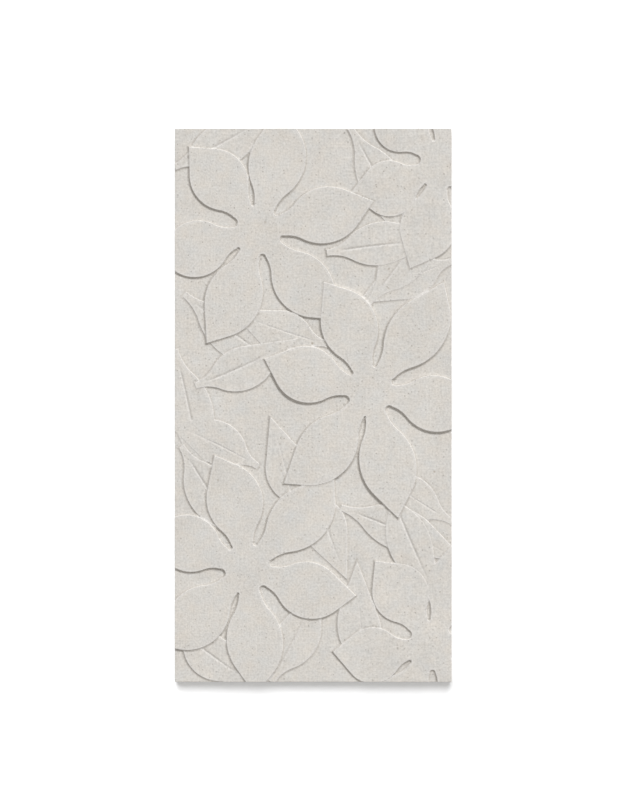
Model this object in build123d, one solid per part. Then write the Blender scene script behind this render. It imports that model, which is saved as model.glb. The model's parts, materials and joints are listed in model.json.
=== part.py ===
"""Relief wall tile: one sawn slab of pale limestone with blooms and leaves carved into its face.

The slab lies on its back. X runs across the tile, Y along it and Z out of the carved face.
The carving is a flat relief in layers: the ground is cut down furthest, the leaves stand above it,
then the blooms at the back, and the foremost bloom keeps the level of the face.
"""

import math
import os
from dataclasses import dataclass

from build123d import *

# Slab, in millimetres
TILE_WIDTH = 300.0
TILE_LENGTH = 600.0
TILE_THICKNESS = 20.0

# Depth of each layer of the relief below the face of the slab
FRONT_DEPTH = 0.0
MIDDLE_DEPTH = 0.5
BACK_DEPTH = 1.1
OVER_LEAF_DEPTH = 1.5
LEAF_DEPTH = 1.8
UNDER_LEAF_DEPTH = 2.1
GROUND_DEPTH = 2.6

# Petals: width at the belly and at the neck, and the belly's place on the way from foot to tip
PETAL_WIDTH = 60.0
PETAL_NECK = 22.0
PETAL_BELLY = 0.5

# How unlike each other the petals of a bloom are: degrees of sway, share of the length, sideways
# lean of the tip, and how fast each of these changes from one petal to the next, in radians
PETAL_SWAY = 5.0
PETAL_STRETCH = 0.09
PETAL_LEAN = 14.0
SWAY_PACE = 2.4
STRETCH_PACE = 1.7
LEAN_PACE = 1.3

# Plain middle of a bloom, how far the petals run in under it, and the round ends of its slots
HUB_RADIUS = 29.0
HUB_LAP = 7.0
SLOT_END_EASE = 0.5
SLOT_END_LEAST = 1.5

# Leaves: width at the belly and at the neck, and the belly's place along the leaf
LEAF_WIDTH = 46.0
LEAF_NECK = 6.0
LEAF_BELLY = 0.45

# Share of the bend in a petal's or leaf's side that its round arc takes from the hollow one, and how
# near that arc's radius may come to the one that would run right into the tip
ROUNDNESS = 0.55
ROUND_LIMIT = 0.97

# How far the layers are rooted in the ground, and the ground reaches past the slab before trimming
ROOT = 2.0
OVERHANG = 5.0


@dataclass(frozen=True)
class Bloom:
    """One flower: its centre as shares of the tile's half width and half length, then its sizes."""

    across: float
    along: float
    reach: float
    petals: int
    turn: float
    depth: float


@dataclass(frozen=True)
class Leaf:
    """One leaf: its foot as shares of the tile's half width and half length, then its sizes."""

    across: float
    along: float
    heading: float
    length: float
    lean: float
    depth: float


LEAVES = (
    Leaf(-0.93, 0.40, -40.0, 150.0, 10.0, UNDER_LEAF_DEPTH),
    Leaf(-1.00, 0.20, -75.0, 150.0, -10.0, UNDER_LEAF_DEPTH),
    Leaf(-0.85, 0.07, 20.0, 120.0, 10.0, OVER_LEAF_DEPTH),
    Leaf(0.27, 1.00, -60.0, 150.0, -10.0, UNDER_LEAF_DEPTH),
    Leaf(0.40, 0.37, 50.0, 140.0, 10.0, LEAF_DEPTH),
    Leaf(0.20, -0.37, -20.0, 150.0, -10.0, LEAF_DEPTH),
    Leaf(-0.13, -0.40, 100.0, 110.0, 8.0, OVER_LEAF_DEPTH),
    Leaf(0.40, -1.00, 100.0, 130.0, -10.0, LEAF_DEPTH),
    Leaf(-0.95, -0.15, -60.0, 130.0, 8.0, LEAF_DEPTH),
    Leaf(0.55, -0.30, -70.0, 140.0, 9.0, OVER_LEAF_DEPTH),
    Leaf(0.10, 0.55, 10.0, 130.0, -9.0, OVER_LEAF_DEPTH),
    Leaf(-0.30, -1.00, 60.0, 120.0, 8.0, UNDER_LEAF_DEPTH),
    Leaf(-1.00, 0.86, 25.0, 130.0, 9.0, LEAF_DEPTH),
    Leaf(0.10, 0.22, 165.0, 110.0, -8.0, LEAF_DEPTH),
    Leaf(-0.40, -0.22, 150.0, 110.0, 8.0, UNDER_LEAF_DEPTH),
    Leaf(0.00, -0.28, -75.0, 110.0, 8.0, UNDER_LEAF_DEPTH),
    Leaf(1.00, 0.52, 200.0, 110.0, 8.0, UNDER_LEAF_DEPTH),
    Leaf(1.00, -0.42, 150.0, 120.0, -9.0, UNDER_LEAF_DEPTH),
    Leaf(-1.00, -0.80, -40.0, 110.0, 8.0, LEAF_DEPTH),
)
BLOOMS = (
    Bloom(0.93, 0.87, 108.0, 6, 20.0, BACK_DEPTH),
    Bloom(0.85, -0.87, 114.0, 6, 5.0, BACK_DEPTH),
    Bloom(-0.40, 0.63, 124.0, 6, 12.0, MIDDLE_DEPTH),
    Bloom(-0.48, -0.59, 126.0, 6, 40.0, MIDDLE_DEPTH),
    Bloom(0.41, 0.05, 130.0, 6, 48.0, FRONT_DEPTH),
)


@dataclass(frozen=True)
class Blade:
    """A petal or leaf, whose foot and belly lie on the ray that leaves (x, y) at the heading."""

    x: float
    y: float
    heading: float
    foot: float
    length: float
    width: float
    neck: float
    belly: float
    lean: float


@dataclass(frozen=True)
class Side:
    """One side of a blade: a hollow arc at the neck, a round arc at the belly, a straight to the tip."""

    neck_centre: Vector
    neck_radius: float
    belly_centre: Vector
    belly_radius: float
    tip: Vector
    tip_normal: Vector


def blade_side(blade, hand):
    """The left (1) or right (-1) side.

    Its two arcs touch, and run along the blade at the neck and at the belly. The radius into the tip is
    that of the round arc that would meet the tip itself, and a smaller one leaves a straight before it.
    """
    reach = blade.belly * (blade.length - blade.foot)
    drop = (blade.width - blade.neck) / 2
    radii = (reach**2 + drop**2) / (2 * drop)
    crest = blade.width / 2 - hand * blade.lean
    run = blade.length - blade.foot - reach
    into_tip = (run**2 + crest**2) / (2 * crest)
    round_radius = min(ROUNDNESS * radii, ROUND_LIMIT * into_tip)
    hollow_radius = radii - round_radius
    belly_centre = Vector(blade.foot + reach, hand * (blade.width / 2 - round_radius))
    tip = Vector(blade.length, blade.lean)
    way = tip - belly_centre
    swing = math.degrees(math.acos(round_radius / way.length))
    return Side(
        Vector(blade.foot, hand * (blade.neck / 2 + hollow_radius)),
        hollow_radius,
        belly_centre,
        round_radius,
        tip,
        way.normalized().rotate(Axis.Z, hand * swing),
    )


def arc(centre, start, finish):
    """The short arc about a centre."""
    middle = (start - centre).normalized() + (finish - centre).normalized()
    return ThreePointArc(start, centre + middle.normalized() * (start - centre).length, finish)


def blade_face(blade):
    """The flat outline of a petal or leaf, in its place."""
    edges, feet = [], []
    for hand in (1, -1):
        side = blade_side(blade, hand)
        foot = side.neck_centre - Vector(0, hand * side.neck_radius)
        bridge = (side.neck_centre - side.belly_centre).normalized()
        waist = side.belly_centre + bridge * side.belly_radius
        shoulder = side.belly_centre + side.tip_normal * side.belly_radius
        edges.append(arc(side.neck_centre, foot, waist))
        edges.append(arc(side.belly_centre, waist, shoulder))
        edges.append(Line(shoulder, side.tip))
        feet.append(foot)
    outline = make_face(edges + [Line(feet[0], feet[1])])
    return Pos(blade.x, blade.y) * Rot(0, 0, blade.heading) * outline


def leaf_face(leaf):
    """The flat outline of one leaf."""
    x, y = leaf.across * TILE_WIDTH / 2, leaf.along * TILE_LENGTH / 2
    sizes = (leaf.length, LEAF_WIDTH, LEAF_NECK, LEAF_BELLY, leaf.lean)
    return blade_face(Blade(x, y, leaf.heading, 0.0, *sizes))


def petal_blades(bloom):
    """The petals of one bloom: evenly set out, then swayed, stretched and leant a little in turn."""
    x, y = bloom.across * TILE_WIDTH / 2, bloom.along * TILE_LENGTH / 2
    phase = math.radians(bloom.turn)
    blades = []
    for k in range(bloom.petals):
        heading = bloom.turn + 360 * k / bloom.petals + PETAL_SWAY * math.sin(SWAY_PACE * k + phase)
        length = bloom.reach * (1 + PETAL_STRETCH * math.sin(STRETCH_PACE * k + 2 * phase))
        lean = PETAL_LEAN * math.sin(LEAN_PACE * k + phase)
        sizes = (length, PETAL_WIDTH, PETAL_NECK, PETAL_BELLY, lean)
        blades.append(Blade(x, y, heading, HUB_RADIUS - HUB_LAP, *sizes))
    return blades


def slot_end(this, following):
    """The round end, on the hub's edge, of the slot between two petals: a little wider than the slot."""
    half_gap = (following.heading - this.heading) % 360 / 2
    room = []
    for petal, hand in ((this, 1), (following, -1)):
        side = blade_side(petal, hand)
        middle = Vector(HUB_RADIUS, 0).rotate(Axis.Z, hand * half_gap)
        room.append(side.neck_radius - (middle - side.neck_centre).length)
    radius = max(max(room) + SLOT_END_EASE, SLOT_END_LEAST)
    place = Pos(this.x, this.y) * Rot(0, 0, this.heading + half_gap) * Pos(HUB_RADIUS, 0)
    return place * Circle(radius)


def bloom_face(bloom):
    """The flat outline of one flower: a plain hub and its petals, parted by round-ended slots."""
    petals = petal_blades(bloom)
    flower = Pos(petals[0].x, petals[0].y) * Circle(HUB_RADIUS) + [blade_face(petal) for petal in petals]
    return flower - [slot_end(*pair) for pair in zip(petals, petals[1:] + petals[:1])]


def raised(shape, depth):
    """The stone left standing under an outline, up to its depth below the face."""
    root = GROUND_DEPTH + ROOT
    return extrude(Pos(0, 0, -root) * shape, root - depth, dir=(0, 0, 1))


def carved_tile():
    """The slab with the relief cut into its face."""
    top = (Align.CENTER, Align.CENTER, Align.MAX)
    slab = Box(TILE_WIDTH, TILE_LENGTH, TILE_THICKNESS, align=top)
    width, length = TILE_WIDTH + 2 * OVERHANG, TILE_LENGTH + 2 * OVERHANG
    ground = Pos(0, 0, -GROUND_DEPTH) * Box(width, length, TILE_THICKNESS, align=top)
    relief = ground + [raised(leaf_face(leaf), leaf.depth) for leaf in LEAVES]
    relief += [raised(bloom_face(bloom), bloom.depth) for bloom in BLOOMS]
    return Pos(0, 0, TILE_THICKNESS) * (slab & relief)


os.makedirs("parts", exist_ok=True)
export_step(carved_tile(), "parts/tile.step")
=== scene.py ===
"""Relief wall tile: a slab of pale limestone with blooms and leaves carved into its face, lying flat."""

import json
import logging
import math
from dataclasses import dataclass, field
from enum import Enum

import bpy
import numpy as np
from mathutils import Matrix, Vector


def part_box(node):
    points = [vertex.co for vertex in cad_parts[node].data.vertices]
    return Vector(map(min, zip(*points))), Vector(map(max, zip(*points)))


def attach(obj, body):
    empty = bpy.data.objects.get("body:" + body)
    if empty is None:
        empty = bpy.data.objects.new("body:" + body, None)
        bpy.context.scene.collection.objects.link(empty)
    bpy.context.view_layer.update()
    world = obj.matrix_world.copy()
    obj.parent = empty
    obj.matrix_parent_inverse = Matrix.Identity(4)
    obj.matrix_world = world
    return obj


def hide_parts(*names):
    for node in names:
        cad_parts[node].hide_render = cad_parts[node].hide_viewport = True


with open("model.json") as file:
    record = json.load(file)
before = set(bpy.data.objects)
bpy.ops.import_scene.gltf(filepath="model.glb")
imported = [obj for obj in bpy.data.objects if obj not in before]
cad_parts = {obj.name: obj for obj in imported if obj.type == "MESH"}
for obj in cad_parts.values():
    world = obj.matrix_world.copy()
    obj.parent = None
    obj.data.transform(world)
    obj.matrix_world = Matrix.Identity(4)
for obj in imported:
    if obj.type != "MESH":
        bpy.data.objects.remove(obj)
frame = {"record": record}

LOG = logging.getLogger("relief_tile")
MM = 0.001
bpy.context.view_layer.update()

# The photograph's frame in pixels, and where the tile's outline stands in it
FRAME_WIDTH, FRAME_HEIGHT = 620, 800
TILE_LEFT, TILE_RIGHT = 174.4, 452.0
TILE_TOP, TILE_BOTTOM = 128.3, 682.3

# Added to divisors that may be zero
TINY = 1e-9

Socket = bpy.types.NodeSocket
Triple = tuple[float, float, float]
Tint = Triple
Colour = tuple[float, float, float, float]
WHITE: Colour = (1.0, 1.0, 1.0, 1.0)


class Level(Enum):
    """Layers of the relief, by their depth below the face in millimetres."""

    FACE = 0.0
    MIDDLE = 0.5
    BACK = 1.1
    OVER_LEAF = 1.5
    LEAF = 1.8
    UNDER_LEAF = 2.1
    GROUND = 2.6


@dataclass(frozen=True)
class Blade:
    """A petal or leaf in millimetres, its foot and belly on the ray that leaves (x, y) at the heading."""

    x: float
    y: float
    heading: float
    foot: float
    length: float
    width: float
    neck: float
    belly: float
    lean: float
    roundness: float = 0.55

    def own_axes(self, x: np.ndarray, y: np.ndarray) -> tuple[np.ndarray, np.ndarray]:
        """Points turned into the blade's own axes.

        Args:
            x: Places across the tile.
            y: Places along the tile.

        Returns:
            Distances along the ray and to the left of it.
        """
        turn = math.radians(self.heading)
        along = (x - self.x) * math.cos(turn) + (y - self.y) * math.sin(turn)
        left = (y - self.y) * math.cos(turn) - (x - self.x) * math.sin(turn)
        return along, left

    def neck_arc(self) -> tuple[float, float]:
        """The hollow arc's radius, and the height of its centre above the ray."""
        radius = (1 - self.roundness) * self.both_radii()
        return radius, self.neck / 2 + radius

    def both_radii(self) -> float:
        """The round and the hollow radius together: (reach squared + drop squared) / (2 drop).

        Returns:
            The sum of both radii.
        """
        reach = self.belly * (self.length - self.foot)
        drop = (self.width - self.neck) / 2
        return (reach**2 + drop**2) / (2 * drop)

    def side_gap(self, along: np.ndarray, out: np.ndarray, lean: float) -> np.ndarray:
        """Distance outside one side of the blade.

        The side is a hollow arc at the neck, a round arc at the belly and a straight to the tip.
        The line through both centres parts the arcs, and the radius square to the straight ends the
        round one. Outside an arc the distance is the way to its centre less the radius, or the
        reverse where the arc is hollow, and beside the straight it is the way along its normal.

        Args:
            along: Distances along the ray.
            out: Distances from the ray towards this side.
            lean: How far the tip leans towards this side.

        Returns:
            The signed distance, negative on the blade.
        """
        belly_along = self.foot + self.belly * (self.length - self.foot)
        round_radius = self.roundness * self.both_radii()
        belly_out = self.width / 2 - round_radius
        neck_radius, neck_out = self.neck_arc()
        way = (self.length - belly_along, lean - belly_out)
        angle = math.atan2(way[1], way[0]) + math.acos(round_radius / math.hypot(*way))
        normal = (math.cos(angle), math.sin(angle))
        straight = normal[0] * (along - self.length) + normal[1] * (out - lean)
        belly = np.hypot(along - belly_along, out - belly_out) - round_radius
        neck = neck_radius - np.hypot(along - self.foot, np.minimum(out - neck_out, 0.0))
        past_shoulder = normal[0] * (out - belly_out) < normal[1] * (along - belly_along)
        bridge = (self.foot - belly_along, neck_out - belly_out)
        past_waist = bridge[0] * (out - belly_out) < bridge[1] * (along - belly_along)
        return np.where(past_shoulder, straight, np.where(past_waist, belly, neck))

    def gap(self, x: np.ndarray, y: np.ndarray) -> np.ndarray:
        """Distance outside the outline: the greatest of its two sides' and its foot's.

        Args:
            x: Places across the tile.
            y: Places along the tile.

        Returns:
            The signed distance, negative on the blade.
        """
        along, left = self.own_axes(x, y)
        sides = np.maximum(self.side_gap(along, left, self.lean), self.side_gap(along, -left, -self.lean))
        return np.maximum(sides, self.foot - along)


@dataclass(frozen=True)
class Leaf:
    """One leaf: its foot as shares of the tile's half width and half length, then its sizes."""

    across: float
    along: float
    heading: float
    length: float
    lean: float
    level: Level
    width: float = 46.0
    neck: float = 6.0
    belly: float = 0.45
    rib_start: float = 0.10
    rib_end: float = 0.86
    rib_rise: float = 0.10
    rib_fade: float = 0.40

    def blade(self, half: tuple[float, float]) -> Blade:
        """The leaf's outline on a tile of that half width and half length."""
        place = (self.across * half[0], self.along * half[1], self.heading)
        return Blade(*place, 0.0, self.length, self.width, self.neck, self.belly, self.lean)

    def gap(self, x: np.ndarray, y: np.ndarray, half: tuple[float, float]) -> np.ndarray:
        """Distance outside the leaf's outline."""
        return self.blade(half).gap(x, y)

    def rib(self, x: np.ndarray, y: np.ndarray, half: tuple[float, float]) -> tuple[np.ndarray, np.ndarray]:
        """The midrib, a parabola from foot to tip: left = lean times the share of the length squared.

        Args:
            x: Places across the tile.
            y: Places along the tile.
            half: The tile's half width and half length.

        Returns:
            Signed distances to the left of the rib, and its strength, which fades at both ends.
        """
        along, left = self.blade(half).own_axes(x, y)
        share = np.clip(along / self.length, 0.0, 1.0)
        slope = 2 * self.lean * share / self.length
        rise = np.clip((share - self.rib_start) / self.rib_rise, 0, 1)
        fade = np.clip((self.rib_end - share) / self.rib_fade, 0, 1)
        return (left - self.lean * share**2) / np.hypot(1.0, slope), rise * fade


@dataclass(frozen=True)
class Bloom:
    """One flower: its centre as shares of the tile's half width and half length, then its sizes."""

    across: float
    along: float
    reach: float
    petals: int
    turn: float
    level: Level
    petal_width: float = 60.0
    petal_neck: float = 22.0
    petal_belly: float = 0.5
    petal_sway: float = 5.0
    petal_stretch: float = 0.09
    petal_lean: float = 14.0
    sway_pace: float = 2.4
    stretch_pace: float = 1.7
    lean_pace: float = 1.3
    hub_radius: float = 29.0
    hub_lap: float = 7.0
    slot_end_ease: float = 0.5
    slot_end_least: float = 1.5

    def blades(self, half: tuple[float, float]) -> list[Blade]:
        """The petals: evenly set out, then swayed, stretched and leant a little in turn.

        Args:
            half: The tile's half width and half length.

        Returns:
            One outline for each petal, anticlockwise.
        """
        x, y = self.across * half[0], self.along * half[1]
        phase = math.radians(self.turn)
        foot = self.hub_radius - self.hub_lap
        sizes = (self.petal_width, self.petal_neck, self.petal_belly)
        blades = []
        for k in range(self.petals):
            sway = self.petal_sway * math.sin(self.sway_pace * k + phase)
            heading = self.turn + 360 * k / self.petals + sway
            length = self.reach * (1 + self.petal_stretch * math.sin(self.stretch_pace * k + 2 * phase))
            lean = self.petal_lean * math.sin(self.lean_pace * k + phase)
            blades.append(Blade(x, y, heading, foot, length, *sizes, lean))
        return blades

    def slot_end(self, this: Blade, following: Blade) -> tuple[float, float]:
        """The slot between two petals: its heading in radians, and the radius of its end on the hub's edge.

        Args:
            this: The petal before the slot.
            following: The petal after it.

        Returns:
            The heading halfway between the petals, and a radius a little over the room between their necks.
        """
        half_gap = (following.heading - this.heading) % 360 / 2
        out = self.hub_radius * math.cos(math.radians(half_gap))
        side = self.hub_radius * math.sin(math.radians(half_gap))
        room = []
        for petal in (this, following):
            neck_radius, centre = petal.neck_arc()
            room.append(neck_radius - math.hypot(out - petal.foot, side - centre))
        radius = max(max(room) + self.slot_end_ease, self.slot_end_least)
        return math.radians(this.heading + half_gap), radius

    def gap(self, x: np.ndarray, y: np.ndarray, half: tuple[float, float]) -> np.ndarray:
        """Distance outside the flower.

        It is the lesser of the petals' and the hub's, but the hub is cut by each slot as a strip with a
        round end, and petals and hub alike by the round end itself.

        Args:
            x: Places across the tile.
            y: Places along the tile.
            half: The tile's half width and half length.

        Returns:
            The signed distance, negative on the flower.
        """
        blades = self.blades(half)
        east, north = x - blades[0].x, y - blades[0].y
        hub = np.hypot(east, north) - self.hub_radius
        petals = np.min([blade.gap(x, y) for blade in blades], axis=0)
        ends = np.full_like(x, -np.inf)
        for this, following in zip(blades, blades[1:] + blades[:1]):
            heading, radius = self.slot_end(this, following)
            out = east * math.cos(heading) + north * math.sin(heading) - self.hub_radius
            side = north * math.cos(heading) - east * math.sin(heading)
            strip = radius - np.hypot(np.minimum(out, 0.0), side)
            hub = np.maximum(hub, np.where(out > -self.hub_radius, strip, hub))
            ends = np.maximum(ends, radius - np.hypot(out, side))
        return np.maximum(np.minimum(petals, hub), ends)


LEAVES = (
    Leaf(-0.93, 0.40, -40.0, 150.0, 10.0, Level.UNDER_LEAF),
    Leaf(-1.00, 0.20, -75.0, 150.0, -10.0, Level.UNDER_LEAF),
    Leaf(-0.85, 0.07, 20.0, 120.0, 10.0, Level.OVER_LEAF),
    Leaf(0.27, 1.00, -60.0, 150.0, -10.0, Level.UNDER_LEAF),
    Leaf(0.40, 0.37, 50.0, 140.0, 10.0, Level.LEAF),
    Leaf(0.20, -0.37, -20.0, 150.0, -10.0, Level.LEAF),
    Leaf(-0.13, -0.40, 100.0, 110.0, 8.0, Level.OVER_LEAF),
    Leaf(0.40, -1.00, 100.0, 130.0, -10.0, Level.LEAF),
    Leaf(-0.95, -0.15, -60.0, 130.0, 8.0, Level.LEAF),
    Leaf(0.55, -0.30, -70.0, 140.0, 9.0, Level.OVER_LEAF),
    Leaf(0.10, 0.55, 10.0, 130.0, -9.0, Level.OVER_LEAF),
    Leaf(-0.30, -1.00, 60.0, 120.0, 8.0, Level.UNDER_LEAF),
    Leaf(-1.00, 0.86, 25.0, 130.0, 9.0, Level.LEAF),
    Leaf(0.10, 0.22, 165.0, 110.0, -8.0, Level.LEAF),
    Leaf(-0.40, -0.22, 150.0, 110.0, 8.0, Level.UNDER_LEAF),
    Leaf(0.00, -0.28, -75.0, 110.0, 8.0, Level.UNDER_LEAF),
    Leaf(1.00, 0.52, 200.0, 110.0, 8.0, Level.UNDER_LEAF),
    Leaf(1.00, -0.42, 150.0, 120.0, -9.0, Level.UNDER_LEAF),
    Leaf(-1.00, -0.80, -40.0, 110.0, 8.0, Level.LEAF),
)
BLOOMS = (
    Bloom(0.93, 0.87, 108.0, 6, 20.0, Level.BACK),
    Bloom(0.85, -0.87, 114.0, 6, 5.0, Level.BACK),
    Bloom(-0.40, 0.63, 124.0, 6, 12.0, Level.MIDDLE),
    Bloom(-0.48, -0.59, 126.0, 6, 40.0, Level.MIDDLE),
    Bloom(0.41, 0.05, 130.0, 6, 48.0, Level.FACE),
)


@dataclass(frozen=True)
class Survey:
    """The relief at a set of points, in millimetres: height, distance to the nearest edge, fall there."""

    height: np.ndarray
    edge: np.ndarray
    drop: np.ndarray


@dataclass(frozen=True)
class Relief:
    """The carving as a height over the tile, in millimetres below the face."""

    half: tuple[float, float]
    cove_radius: float = 1.8
    swell_height: float = 0.10
    ground_swell: float = 0.35
    swell_across: float = 19.0
    swell_along: float = 27.0
    swell_slant: float = 33.0
    slant_share: float = 0.5
    layer_phase: float = 1.7
    rib_depth: float = 0.45
    rib_half_width: float = 1.5
    rib_margin: float = 1.5
    settle_rounds: int = 2
    settle_probe: float = 0.01
    settle_reach: float = 0.52
    least_slope: float = 0.5
    normal_probe: float = 0.002

    def swell(self, x: np.ndarray, y: np.ndarray, phase: float) -> np.ndarray:
        """The hand-worked unevenness of one layer: two crossed waves and a slanting one.

        Args:
            x: Places across the tile.
            y: Places along the tile.
            phase: Where the layer's waves start, in radians.

        Returns:
            The unevenness, from -2 to 0.
        """
        crossed = np.sin(x / self.swell_across + phase) * np.sin(y / self.swell_along + 2 * phase)
        slanting = np.sin((x + y) / self.swell_slant + 3 * phase)
        return (crossed + self.slant_share * slanting) / (1 + self.slant_share) - 1.0

    def survey(self, x: np.ndarray, y: np.ndarray) -> Survey:
        """Lays the layers on the ground, the deepest first.

        On a shape the height is its layer's. From its edge a cove, as a round-nosed tool leaves it, falls
        to what lies behind: a parabola of one curvature, steepest at the edge and level at its foot,
        whose width is the root of twice the radius times the fall. Each leaf has a V groove as its midrib.

        Args:
            x: Places across the tile.
            y: Places along the tile.

        Returns:
            The height, the signed distance to the nearest edge in sight, and the fall at that edge.
        """
        height = self.ground_swell * self.swell(x, y, 0.0) - Level.GROUND.value
        edge = np.full_like(x, np.inf)
        drop = np.zeros_like(x)
        shapes = sorted(LEAVES + BLOOMS, key=lambda shape: -shape.level.value)
        for order, shape in enumerate(shapes):
            gap = shape.gap(x, y, self.half)
            swell = self.swell(x, y, self.layer_phase * (order + 1))
            top = self.swell_height * swell - shape.level.value
            fall = np.maximum(top - height, 0.0)
            nearer = (gap < 0) | (np.abs(gap) < np.abs(edge))
            edge = np.where(nearer, gap, edge)
            drop = np.where(nearer, fall, drop)
            width = np.sqrt(2 * self.cove_radius * fall) + TINY
            height = height + fall * np.clip(1 - gap / width, 0.0, 1.0) ** 2
            if isinstance(shape, Leaf):
                beside, strength = shape.rib(x, y, self.half)
                groove = strength * np.clip(1 - np.abs(beside) / self.rib_half_width, 0.0, 1.0)
                inside = np.clip(-gap / self.rib_margin - 1, 0.0, 1.0)
                height = height - self.rib_depth * groove * inside
                on_rib = (inside * strength > 0) & (np.abs(beside) < np.abs(edge))
                edge = np.where(on_rib, beside, edge)
                drop = np.where(on_rib, self.rib_depth * strength, drop)
        return Survey(height, edge, drop)

    def settle(self, x: np.ndarray, y: np.ndarray, cell: float) -> tuple[np.ndarray, np.ndarray]:
        """Moves grid points on to the nearest edge, or the line one cell outside it, so edges are crisp.

        A point goes along the slope of the distance to its edge, by no more than about half a cell. Points
        on the tile's border slide along it.

        Args:
            x: A grid of places across the tile.
            y: A grid of places along the tile.
            cell: The grid's pitch.

        Returns:
            The moved places.
        """
        probe = self.settle_probe
        for _ in range(self.settle_rounds):
            edge = self.survey(x, y).edge
            slope_x = (self.survey(x + probe, y).edge - edge) / probe
            slope_y = (self.survey(x, y + probe).edge - edge) / probe
            steep = np.maximum(np.hypot(slope_x, slope_y), self.least_slope)
            move = np.where(edge < cell / 2, 0.0, cell) - edge
            move = np.where(np.abs(move) <= self.settle_reach * cell, move, 0.0)
            move_x, move_y = move * slope_x / steep**2, move * slope_y / steep**2
            move_x[:, [0, -1]] = 0.0
            move_y[[0, -1], :] = 0.0
            x = x + np.clip(move_x, -cell / 2, cell / 2)
            y = y + np.clip(move_y, -cell / 2, cell / 2)
        return x, y

    def normals(self, x: np.ndarray, y: np.ndarray) -> np.ndarray:
        """Directions square to the relief: minus its slopes across and along, and 1 upwards.

        Args:
            x: Places across the tile.
            y: Places along the tile.

        Returns:
            Unit vectors, one to a row.
        """
        probe = self.normal_probe
        height = self.survey(x, y).height
        slope_x = (self.survey(x + probe, y).height - height) / probe
        slope_y = (self.survey(x, y + probe).height - height) / probe
        upright = np.stack([-slope_x, -slope_y, np.ones_like(x)], axis=-1)
        return upright / np.linalg.norm(upright, axis=-1, keepdims=True)


class Shader:
    """A small hand for wiring one node tree."""

    def __init__(self, owner: bpy.types.Material | bpy.types.World) -> None:
        """Starts an empty node tree.

        Args:
            owner: The material or world that the tree belongs to.
        """
        owner.use_nodes = True
        self.tree = owner.node_tree
        self.tree.nodes.clear()

    def node(self, kind: str, **values: object) -> bpy.types.Node:
        """Adds a node and sets its properties and sockets.

        Args:
            kind: The node's type name in Blender.
            values: Property names, or socket names with spaces written as underscores.

        Returns:
            The node.
        """
        node = self.tree.nodes.new(kind)
        for key, value in values.items():
            if hasattr(node, key):
                setattr(node, key, value)
            else:
                self.feed(node.inputs[key.replace("_", " ")], value)
        return node

    def feed(self, socket: Socket, value: object) -> None:
        """Links a socket to another, or sets its value.

        Args:
            socket: The input.
            value: An output to link it to, or a plain value.
        """
        if isinstance(value, Socket):
            self.tree.links.new(value, socket)
        else:
            socket.default_value = value

    def math(self, operation: str, *values: object, clamp: bool = False) -> Socket:
        """The result of a Math node.

        Args:
            operation: The operation's name in Blender.
            values: Two or three sockets or numbers.
            clamp: Whether the result is kept between 0 and 1.

        Returns:
            The result.
        """
        node = self.node("ShaderNodeMath", operation=operation, use_clamp=clamp)
        for socket, value in zip(node.inputs, values):
            self.feed(socket, value)
        return node.outputs[0]

    def noise(self, place: Socket, scale: float, detail: float) -> Socket:
        """A noise between 0 and 1, with that many waves to the metre."""
        return self.node("ShaderNodeTexNoise", Vector=place, Scale=scale, Detail=detail).outputs["Fac"]

    def stretched(self, place: Socket, factors: Triple) -> Socket:
        """The place with each axis multiplied."""
        return self.node("ShaderNodeMapping", Vector=place, Scale=factors).outputs[0]

    def mark(self, name: str) -> Socket:
        """A mark that the mesh carries at each point."""
        return self.node("ShaderNodeAttribute", attribute_name=name).outputs["Fac"]

    def blend(self, share: Socket, under: Socket | Colour, over: Socket | Colour) -> Socket:
        """Two colours mixed.

        Args:
            share: How much of the second colour shows.
            under: The first colour.
            over: The second colour.

        Returns:
            The mixed colour.
        """
        node = self.node("ShaderNodeMix", data_type="RGBA")
        self.feed(node.inputs["Factor"], share)
        self.feed(node.inputs["A"], under)
        self.feed(node.inputs["B"], over)
        return node.outputs["Result"]

    def seen(self) -> Socket:
        """Tells the rays that show a backdrop from those that only light the tile.

        Returns:
            1 for rays from the camera and those reflected or let through, and 0 for the rest.
        """
        path = self.node("ShaderNodeLightPath").outputs
        seen = self.math("MAXIMUM", path["Is Camera Ray"], path["Is Glossy Ray"])
        return self.math("MAXIMUM", seen, path["Is Transmission Ray"])


@dataclass(frozen=True)
class Fleck:
    """One kind of grain: cells to the metre, radius as a share of a cell, and share of cells with one."""

    colour: Colour
    scale: float
    radius: float
    share: float
    strength: float
    fade_out: float = 1.4
    size_power: float = 0.5

    def mask(self, shader: Shader, place: Socket) -> Socket:
        """Scattered grains, full at the points of some cells and fading out past the radius.

        A cell's chance, from 0 to 1, says how strong its grain is, and those under 1 less the share
        have none.

        Args:
            shader: The material in the making.
            place: Where the pattern is read.

        Returns:
            The grains' strength.
        """
        cells = shader.node("ShaderNodeTexVoronoi", Vector=place, Scale=self.scale)
        chance = shader.node("ShaderNodeSeparateColor", Color=cells.outputs["Color"]).outputs["Red"]
        distance = cells.outputs["Distance"]
        inside = shader.math("MULTIPLY_ADD", distance, -1 / self.radius, self.fade_out, clamp=True)
        size = shader.math("MULTIPLY_ADD", chance, 1 / self.share, 1 - 1 / self.share, clamp=True)
        grains = shader.math("MULTIPLY", inside, shader.math("POWER", size, self.size_power))
        return shader.math("MULTIPLY", grains, self.strength)


PALE_GRAIN = Fleck((0.80, 0.78, 0.74, 1.0), scale=330.0, radius=0.30, share=0.30, strength=0.55)
GREY_GRAIN = Fleck((0.46, 0.44, 0.41, 1.0), scale=140.0, radius=0.19, share=0.48, strength=0.34)
DARK_GRAIN = Fleck((0.26, 0.23, 0.20, 1.0), scale=260.0, radius=0.20, share=0.34, strength=0.62)
BROWN_GRAIN = Fleck((0.36, 0.30, 0.23, 1.0), scale=60.0, radius=0.075, share=0.22, strength=0.75)


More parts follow.
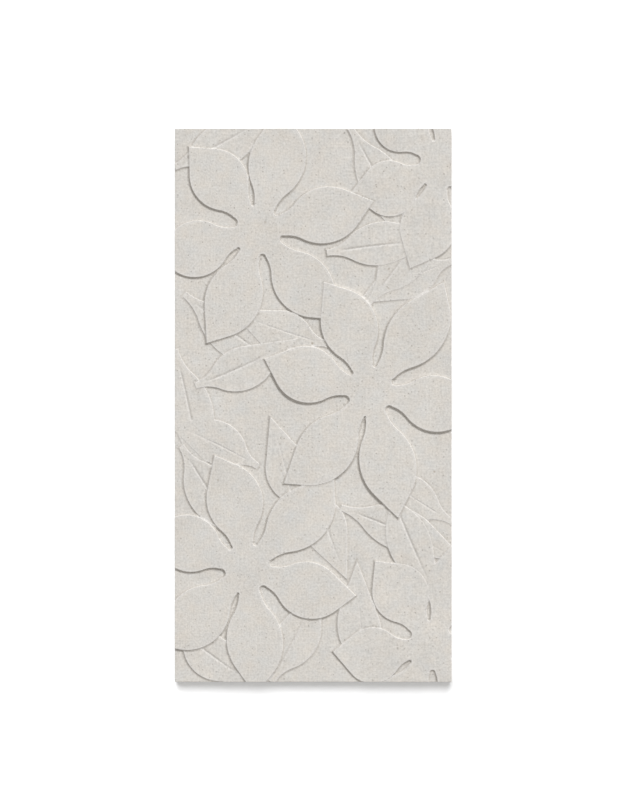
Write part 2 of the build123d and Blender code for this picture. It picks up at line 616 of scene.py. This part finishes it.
@dataclass(frozen=True)
class StoneMarks:
    """What the finish reads at each point: its place, the stone's patterns and the mesh's marks."""

    place: Socket
    grain: Socket
    strokes: Socket
    saw: Socket
    # Painted shade: darker and browner at the foot of each relief edge
    groove: Socket
    # Painted highlight, partly rubbed wear: lighter and cooler on the top of each relief edge
    wear_and_painted_highlight: Socket


@dataclass(frozen=True)
class Limestone:
    """The finish: pale fine-grained limestone with dark and pale specks, lightly tooled on its face."""

    colour: Tint
    flecks: tuple[Fleck, ...] = (PALE_GRAIN, GREY_GRAIN, DARK_GRAIN, BROWN_GRAIN)
    warm: Tint = (1.034, 1.0, 0.962)
    cool: Tint = (0.948, 1.0, 1.062)
    # Browner tint of the painted shade at the feet of the relief edges
    painted_shade_tint: Tint = (1.005, 0.995, 0.985)
    # Cooler tint of the painted highlight, partly rubbed wear, on the relief edges' tops
    rim_highlight_tint: Tint = (0.985, 1.0, 1.03)
    tint_scale: float = 70.0
    tint_detail: float = 3.0
    plain_tone: float = 0.571
    mottle_scale: float = 26.0
    mottle_detail: float = 4.0
    mottle_tone: float = 0.18
    grain_scale: float = 460.0
    grain_detail: float = 4.0
    grain_tone: float = 0.54
    stroke_scale: float = 620.0
    stroke_detail: float = 1.0
    stroke_stretch: float = 0.07
    stroke_tone: float = 0.11
    stroke_bump: float = 0.35
    saw_scale: float = 800.0
    saw_detail: float = 2.0
    saw_stretch: Triple = (0.02, 0.05, 1.0)
    saw_tone: float = -0.08
    saw_bump: float = 0.8
    # How much the painted shade at the feet of the relief edges darkens the stone
    groove_painted_shade: float = -0.21
    # How much the painted highlight, partly rubbed wear, lightens the edge tops
    wear_and_highlight_tone: float = 0.06
    ruffle_scale: float = 900.0
    ruffle_depth: float = 0.0012
    rough_least: float = 0.76
    rough_spread: float = 0.20
    bump_strength: float = 0.5
    bump_depth: float = 0.00035
    gloss: float = 0.25

    def tinted(self, tint: Tint) -> Colour:
        """The stone's colour under a tint."""
        red, green, blue = (part * shade for part, shade in zip(self.colour, tint))
        return red, green, blue, 1.0

    def strokes(self, shader: Shader, place: Socket) -> Socket:
        """Fine crossed strokes along and across the face, from a rubbing stone: two stretched noises.

        Args:
            shader: The material in the making.
            place: Object coordinates.

        Returns:
            The strokes' strength, from 0 to 2.
        """
        lengthwise = shader.stretched(place, (1.0, self.stroke_stretch, 1.0))
        crosswise = shader.stretched(place, (self.stroke_stretch, 1.0, 1.0))
        along = shader.noise(lengthwise, self.stroke_scale, self.stroke_detail)
        across = shader.noise(crosswise, self.stroke_scale, self.stroke_detail)
        return shader.math("ADD", along, across)

    def saw_marks(self, shader: Shader, place: Socket) -> Socket:
        """Level strokes on the sawn sides and back only."""
        strokes = shader.noise(shader.stretched(place, self.saw_stretch), self.saw_scale, self.saw_detail)
        return shader.math("MULTIPLY", strokes, shader.mark("sawn"))

    def marks(self, shader: Shader) -> StoneMarks:
        """Makes the patterns that colour, roughness and bump share.

        Args:
            shader: The material in the making.

        Returns:
            The patterns, on Object coordinates, and the mesh's own marks.
        """
        place = shader.node("ShaderNodeTexCoord").outputs["Object"]
        return StoneMarks(
            place=place,
            grain=shader.noise(place, self.grain_scale, self.grain_detail),
            strokes=self.strokes(shader, place),
            saw=self.saw_marks(shader, place),
            # Painted shade at the feet of the relief edges, read from the mesh
            groove=shader.mark("groove"),
            # Painted highlight, partly rubbed wear, on the edge tops, read from the mesh
            wear_and_painted_highlight=shader.mark("wear_and_painted_highlight"),
        )

    def tone(self, shader: Shader, marks: StoneMarks) -> Socket:
        """How light the stone is: mottling, grain, strokes and a painted highlight with rubbed wear on the
        edge tops, less painted shade at the feet of the edges and saw marks.

        Args:
            shader: The material in the making.
            marks: What the finish reads.

        Returns:
            The factor for the stone's colour.
        """
        mottle = shader.noise(marks.place, self.mottle_scale, self.mottle_detail)
        tone = shader.math("MULTIPLY_ADD", mottle, self.mottle_tone, self.plain_tone)
        for pattern, share in (
            (marks.grain, self.grain_tone),
            (marks.strokes, self.stroke_tone),
            # Painted shade: darker at the feet of the relief edges
            (marks.groove, self.groove_painted_shade),
            # Painted highlight, partly rubbed wear: lighter on the edge tops
            (marks.wear_and_painted_highlight, self.wear_and_highlight_tone),
            (marks.saw, self.saw_tone),
        ):
            tone = shader.math("MULTIPLY_ADD", pattern, share, tone)
        return tone

    def body(self, shader: Shader, marks: StoneMarks) -> Socket:
        """The stone's colour: warm and cool patches, a cooler painted highlight with rubbed wear on the
        edge tops and a browner painted shade at the feet of the edges, times the tone.

        Args:
            shader: The material in the making.
            marks: What the finish reads.

        Returns:
            The colour.
        """
        patches = shader.noise(marks.place, self.tint_scale, self.tint_detail)
        clean = shader.blend(patches, self.tinted(self.warm), self.tinted(self.cool))
        # Painted highlight, partly rubbed wear: the edge tops turn cooler
        with_rim_highlight = shader.blend(marks.wear_and_painted_highlight, clean, self.tinted(self.rim_highlight_tint))
        # Painted shade: the feet of the relief edges turn browner
        with_painted_shade = shader.blend(marks.groove, with_rim_highlight, self.tinted(self.painted_shade_tint))
        body = shader.node("ShaderNodeVectorMath", operation="SCALE", Scale=self.tone(shader, marks))
        shader.feed(body.inputs[0], with_painted_shade)
        return body.outputs[0]

    def flecked(self, shader: Shader, marks: StoneMarks) -> Socket:
        """The stone's colour with its grains, read at places ruffled so that no grain is quite round.

        Args:
            shader: The material in the making.
            marks: What the finish reads.

        Returns:
            The colour.
        """
        ruffle = shader.node("ShaderNodeTexNoise", Vector=marks.place, Scale=self.ruffle_scale)
        ruffled = shader.node("ShaderNodeVectorMath", operation="MULTIPLY_ADD")
        parts = (ruffle.outputs["Color"], (self.ruffle_depth,) * 3, marks.place)
        for socket, value in zip(ruffled.inputs, parts):
            shader.feed(socket, value)
        colour = self.body(shader, marks)
        for fleck in self.flecks:
            colour = shader.blend(fleck.mask(shader, ruffled.outputs[0]), colour, fleck.colour)
        return colour

    def material(self) -> bpy.types.Material:
        """The stone's node material.

        Returns:
            The material.
        """
        material = bpy.data.materials.new("limestone")
        shader = Shader(material)
        marks = self.marks(shader)
        rough = shader.math("MULTIPLY_ADD", marks.grain, self.rough_spread, self.rough_least)
        height = shader.math("MULTIPLY_ADD", marks.strokes, self.stroke_bump, marks.grain)
        height = shader.math("MULTIPLY_ADD", marks.saw, self.saw_bump, height)
        bump = shader.node("ShaderNodeBump", Strength=self.bump_strength, Distance=self.bump_depth)
        shader.feed(bump.inputs["Height"], height)
        colour = self.flecked(shader, marks)
        surface = shader.node("ShaderNodeBsdfPrincipled", Base_Color=colour, Roughness=rough)
        shader.feed(surface.inputs["Normal"], bump.outputs[0])
        surface.inputs["Specular IOR Level"].default_value = self.gloss
        shader.node("ShaderNodeOutputMaterial", Surface=surface.outputs[0])
        return material


@dataclass
class CarvedStone:
    """The tile itself: a slab in millimetres whose top is the relief."""

    low: Triple
    high: Triple
    cells_across: int = 216
    cells_along: int = 432
    arris: float = 0.4
    # How far the painted shade at the feet of the relief edges spreads, and the fall at which it is full
    painted_shade_reach: float = 1.0
    painted_shade_drop: float = 0.9
    # How far the painted highlight, partly rubbed wear, spreads from each edge top, and the fall at which
    # it is full
    wear_and_highlight_reach: float = 1.5
    wear_and_highlight_drop: float = 0.5
    edge_width: float = 0.1
    corner_nudge: float = 0.15
    least_area: float = 0.05
    vertices: np.ndarray = field(init=False)
    triangles: np.ndarray = field(init=False)
    # Painted shade at the foot of each relief edge, one value to a point
    groove: np.ndarray = field(init=False)
    # Painted highlight, partly rubbed wear, on each relief edge's top, one value to a point
    wear_and_painted_highlight: np.ndarray = field(init=False)
    on_edge: np.ndarray = field(init=False)

    def half(self) -> tuple[float, float]:
        """The slab's half width and half length."""
        return (self.high[0] - self.low[0]) / 2, (self.high[1] - self.low[1]) / 2

    def top_grid(self) -> np.ndarray:
        """The carved face as a grid of points, settled on the edges, and the marks that its finish reads:
        painted shade at the feet of the edges and a painted highlight, partly rubbed wear, on their tops.

        Returns:
            The points, rows along the tile by columns across it.
        """
        half = self.half()
        across = np.linspace(self.arris - half[0], half[0] - self.arris, self.cells_across + 1)
        along = np.linspace(self.arris - half[1], half[1] - self.arris, self.cells_along + 1)
        cell = across[1] - across[0]
        relief = Relief(half)
        x, y = relief.settle(*np.meshgrid(across, along), cell)
        survey = relief.survey(x, y)
        self.on_edge = np.abs(survey.edge).ravel() < self.edge_width
        # Painted shade: darkest one cell outside each relief edge, where the wall's shade falls, and fuller
        # where the fall is deeper
        foot = np.exp(-(((survey.edge - cell) / self.painted_shade_reach) ** 2))
        deep = np.clip(survey.drop / self.painted_shade_drop, 0, 1)
        self.groove = np.where(survey.edge > cell / 2, foot * deep, 0.0)
        # Painted highlight, partly rubbed wear: lightest on each relief edge's top and fuller where the
        # fall is deeper
        top = np.exp(-((survey.edge / self.wear_and_highlight_reach) ** 2))
        tall = np.clip(survey.drop / self.wear_and_highlight_drop, 0, 1)
        self.wear_and_painted_highlight = np.where(survey.edge <= cell / 2, top * tall, 0.0)
        return np.stack([x, y, self.high[2] + survey.height], axis=-1)

    def border(self, rows: int, columns: int) -> np.ndarray:
        """Numbers of the grid's border points, once round anticlockwise."""
        numbers = np.arange(rows * columns).reshape(rows, columns)
        return np.concatenate([numbers[0, :-1], numbers[:-1, -1], numbers[-1, :0:-1], numbers[:0:-1, 0]])

    def shape(self) -> None:
        """Works out the whole closed skin: the carved face, a small arris, the four sides and the back."""
        grid = self.top_grid()
        rows, columns = grid.shape[:2]
        top = grid.reshape(-1, 3)
        rim = self.border(rows, columns)
        side = top[rim].copy()
        side[:, 0] *= (self.high[0] - self.low[0]) / (self.high[0] - self.low[0] - 2 * self.arris)
        side[:, 1] *= (self.high[1] - self.low[1]) / (self.high[1] - self.low[1] - 2 * self.arris)
        side[:, 2] -= self.arris
        foot = side * (1.0, 1.0, 0.0) + (0.0, 0.0, self.low[2])
        self.vertices = np.concatenate([top, side, foot])
        numbers = np.arange(rows * columns).reshape(rows, columns)
        quads = np.stack([numbers[:-1, :-1], numbers[:-1, 1:], numbers[1:, 1:], numbers[1:, :-1]], axis=-1)
        first = np.arange(len(rim)) + len(top)
        rings = [self.band(rim, first), self.band(first, first + len(rim))]
        self.triangles = self.split(np.concatenate([quads.reshape(-1, 4)] + rings))

    @staticmethod
    def band(upper: np.ndarray, lower: np.ndarray) -> np.ndarray:
        """Quads between two closed rings, facing outwards when the rings run anticlockwise."""
        return np.stack([upper, lower, np.roll(lower, -1), np.roll(upper, -1)], axis=-1)

    def split(self, quads: np.ndarray) -> np.ndarray:
        """Cuts each quad along the more level diagonal, so that no cut crosses an edge of the relief.

        Where that would leave a sliver, the quad is cut along the other diagonal.

        Args:
            quads: Four point numbers to a row.

        Returns:
            Three point numbers to a row.
        """
        halves = [quads[:, [0, 1, 2, 0, 2, 3]], quads[:, [0, 1, 3, 1, 2, 3]]]
        least = []
        for pair in halves:
            corners = self.vertices[pair].reshape(-1, 2, 3, 3)
            normals = np.cross(corners[:, :, 1] - corners[:, :, 0], corners[:, :, 2] - corners[:, :, 0])
            least.append(np.linalg.norm(normals, axis=-1).min(axis=1))
        height = self.vertices[quads, 2]
        level = np.abs(height[:, 0] - height[:, 2]) <= np.abs(height[:, 1] - height[:, 3])
        first = np.where(level, least[0] > self.least_area, least[1] <= self.least_area)
        return np.where(first[:, None], halves[0], halves[1]).reshape(-1, 3)

    def corner_normals(self, back_corners: int) -> np.ndarray:
        """Directions for shading at each corner of each face.

        On the carved face they are the relief's own. Those of a triangle on an edge are read a little way
        from its corners towards its middle, so that both sides of the edge keep theirs. The arris, sides
        and back are flat.

        Args:
            back_corners: The number of corners of the back.

        Returns:
            Unit vectors, the triangles' corners first and the back's after them.
        """
        relief = Relief(self.half())
        corners = self.vertices[self.triangles]
        flat = np.cross(corners[:, 1] - corners[:, 0], corners[:, 2] - corners[:, 0])
        flat /= np.linalg.norm(flat, axis=-1, keepdims=True) + TINY
        normals = np.repeat(flat[:, None], 3, axis=1)
        face_points = self.on_edge.size
        face = self.triangles.max(axis=1) < face_points
        smooth = relief.normals(self.vertices[:face_points, 0], self.vertices[:face_points, 1])
        normals[face] = smooth[self.triangles[face]]
        crisp = np.flatnonzero(face)[self.on_edge[self.triangles[face]].any(axis=1)]
        middle = corners[crisp].mean(axis=1, keepdims=True)
        near = corners[crisp] + self.corner_nudge * (middle - corners[crisp])
        normals[crisp] = relief.normals(near[..., 0], near[..., 1])
        back = np.tile((0.0, 0.0, -1.0), (back_corners, 1))
        return np.concatenate([normals.reshape(-1, 3), back])

    def mesh(self) -> bpy.types.Mesh:
        """Puts the skin into a mesh, with crisp edges and the marks that its finish reads.

        Returns:
            The mesh, in metres.
        """
        mesh = bpy.data.meshes.new("carved_stone")
        ring = 2 * (self.cells_across + self.cells_along)
        back = np.arange(len(self.vertices) - ring, len(self.vertices))[::-1]
        corners = np.concatenate([self.triangles.ravel(), back])
        mesh.vertices.add(len(self.vertices))
        mesh.vertices.foreach_set("co", (self.vertices * MM).astype(np.float32).ravel())
        mesh.loops.add(len(corners))
        mesh.loops.foreach_set("vertex_index", corners.astype(np.int32))
        mesh.polygons.add(len(self.triangles) + 1)
        starts = np.append(np.arange(len(self.triangles)) * 3, self.triangles.size)
        mesh.polygons.foreach_set("loop_start", starts.astype(np.int32))
        mesh.update(calc_edges=True)
        mesh.validate()
        mesh.normals_split_custom_set(self.corner_normals(len(back)))
        face_points = len(self.vertices) - 2 * ring
        sawn = np.arange(len(self.vertices)) >= face_points
        # Painted shade at the feet of the relief edges
        groove = np.concatenate([self.groove.ravel(), np.zeros(2 * ring)])
        # Painted highlight, partly rubbed wear, on the edge tops
        wear_and_painted_highlight = np.concatenate([self.wear_and_painted_highlight.ravel(), np.zeros(2 * ring)])
        for name, values in (("sawn", sawn), ("groove", groove), ("wear_and_painted_highlight", wear_and_painted_highlight)):
            mark = mesh.attributes.new(name, "FLOAT", "POINT")
            mark.data.foreach_set("value", values.astype(np.float32))
        return mesh

    def build(self, finish: Limestone) -> bpy.types.Object:
        """Makes the piece, dresses it and sets it on its body.

        Args:
            finish: The stone's finish.

        Returns:
            The piece.
        """
        self.shape()
        piece = bpy.data.objects.new("carved_stone", self.mesh())
        bpy.context.scene.collection.objects.link(piece)
        piece.data.materials.append(finish.material())
        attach(piece, "root")
        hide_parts("tile")
        return piece


@dataclass(frozen=True)
class LampAim:
    """Where a far lamp stands, in degrees, how much light it gives a level face, and its apparent size."""

    azimuth: float
    elevation: float
    level: float
    softness: float


KEY = LampAim(azimuth=62.0, elevation=40.0, level=0.555, softness=14.0)
TABLE_LIGHT = LampAim(azimuth=97.0, elevation=54.0, level=0.97, softness=44.0)


@dataclass
class Studio:
    """The white table, the lamps and the camera, in metres."""

    table_side: float = 8.0
    table_drop: float = 0.0005
    table_colour: Colour = (0.79, 0.80, 0.81, 1.0)
    table_glow: float = 0.20
    fill: float = 0.40
    fill_tint: Colour = (1.03, 1.0, 0.965, 1.0)
    camera_height: float = 3.0
    sensor: float = 36.0

    def table(self) -> bpy.types.Object:
        """A plain white top that shows white to the camera and keeps the tile's shadow.

        Returns:
            The table.
        """
        half = self.table_side / 2
        low = -self.table_drop
        corners = [(-half, -half, low), (half, -half, low), (half, half, low), (-half, half, low)]
        mesh = bpy.data.meshes.new("table_top")
        mesh.from_pydata(corners, [], [(0, 1, 2, 3)])
        table = bpy.data.objects.new("table_top", mesh)
        bpy.context.scene.collection.objects.link(table)
        material = bpy.data.materials.new("table_white")
        shader = Shader(material)
        plain = shader.node("ShaderNodeBsdfDiffuse", Color=self.table_colour)
        strength = shader.math("MULTIPLY", shader.seen(), self.table_glow)
        glow = shader.node("ShaderNodeEmission", Color=WHITE, Strength=strength)
        both = shader.node("ShaderNodeAddShader")
        shader.feed(both.inputs[0], plain.outputs[0])
        shader.feed(both.inputs[1], glow.outputs[0])
        shader.node("ShaderNodeOutputMaterial", Surface=both.outputs[0])
        mesh.materials.append(material)
        return table

    def lamp(self, name: str, aim: LampAim, lit: bpy.types.Object) -> None:
        """A far lamp that lights one thing only.

        Args:
            name: The lamp's name.
            aim: Where it stands and how bright and soft it is.
            lit: What it lights.
        """
        light = bpy.data.lights.new(name, "SUN")
        light.angle = math.radians(aim.softness)
        light.energy = math.pi * aim.level / math.sin(math.radians(aim.elevation))
        lamp = bpy.data.objects.new(name, light)
        lamp.rotation_euler = (0.0, math.radians(90 - aim.elevation), math.radians(aim.azimuth))
        bpy.context.scene.collection.objects.link(lamp)
        group = bpy.data.collections.new(name + "_lights")
        group.objects.link(lit)
        lamp.light_linking.receiver_collection = group

    def sky(self) -> None:
        """An even fill from all round, which shows white to the camera and in reflections."""
        world = bpy.data.worlds.new("studio_fill")
        shader = Shader(world)
        seen = shader.seen()
        level = shader.math("MULTIPLY_ADD", seen, 1 - self.fill, self.fill)
        colour = shader.blend(seen, self.fill_tint, WHITE)
        sky = shader.node("ShaderNodeBackground", Color=colour, Strength=level)
        shader.node("ShaderNodeOutputWorld", Surface=sky.outputs[0])
        bpy.context.scene.world = world

    def camera(self, face_height: float, tile_length: float) -> None:
        """A camera straight above, placed so that the tile's outline falls where the photograph has it.

        Args:
            face_height: The height of the tile's face.
            tile_length: The tile's length.
        """
        scale = tile_length / (TILE_BOTTOM - TILE_TOP)
        shown = scale * FRAME_HEIGHT
        lens = bpy.data.cameras.new("front_camera")
        lens.sensor_width = self.sensor
        lens.lens = self.sensor * self.camera_height / shown
        camera = bpy.data.objects.new("front_camera", lens)
        x = scale * (FRAME_WIDTH / 2 - (TILE_LEFT + TILE_RIGHT) / 2)
        y = scale * ((TILE_TOP + TILE_BOTTOM) / 2 - FRAME_HEIGHT / 2)
        camera.location = (x, y, face_height + self.camera_height)
        bpy.context.scene.collection.objects.link(camera)
        bpy.context.scene.camera = camera


def main() -> None:
    """Builds the stone and its studio."""
    logging.basicConfig(level=logging.INFO, format="%(name)s: %(message)s")
    low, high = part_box("tile")
    base = frame["record"]["materials"][0]["base_color"]
    finish = Limestone(tuple(base[:3]))
    stone = CarvedStone(tuple(c / MM for c in low), tuple(c / MM for c in high)).build(finish)
    LOG.info("%s: %d points, %d faces", stone.name, len(stone.data.vertices), len(stone.data.polygons))
    studio = Studio()
    table = studio.table()
    LOG.info("%s: stage", table.name)
    studio.lamp("key_lamp", KEY, stone)
    studio.lamp("table_lamp", TABLE_LIGHT, table)
    studio.sky()
    studio.camera(high[2], high[1] - low[1])
    bpy.context.scene.view_settings.view_transform = "Standard"


if __name__ == "__main__":
    main()
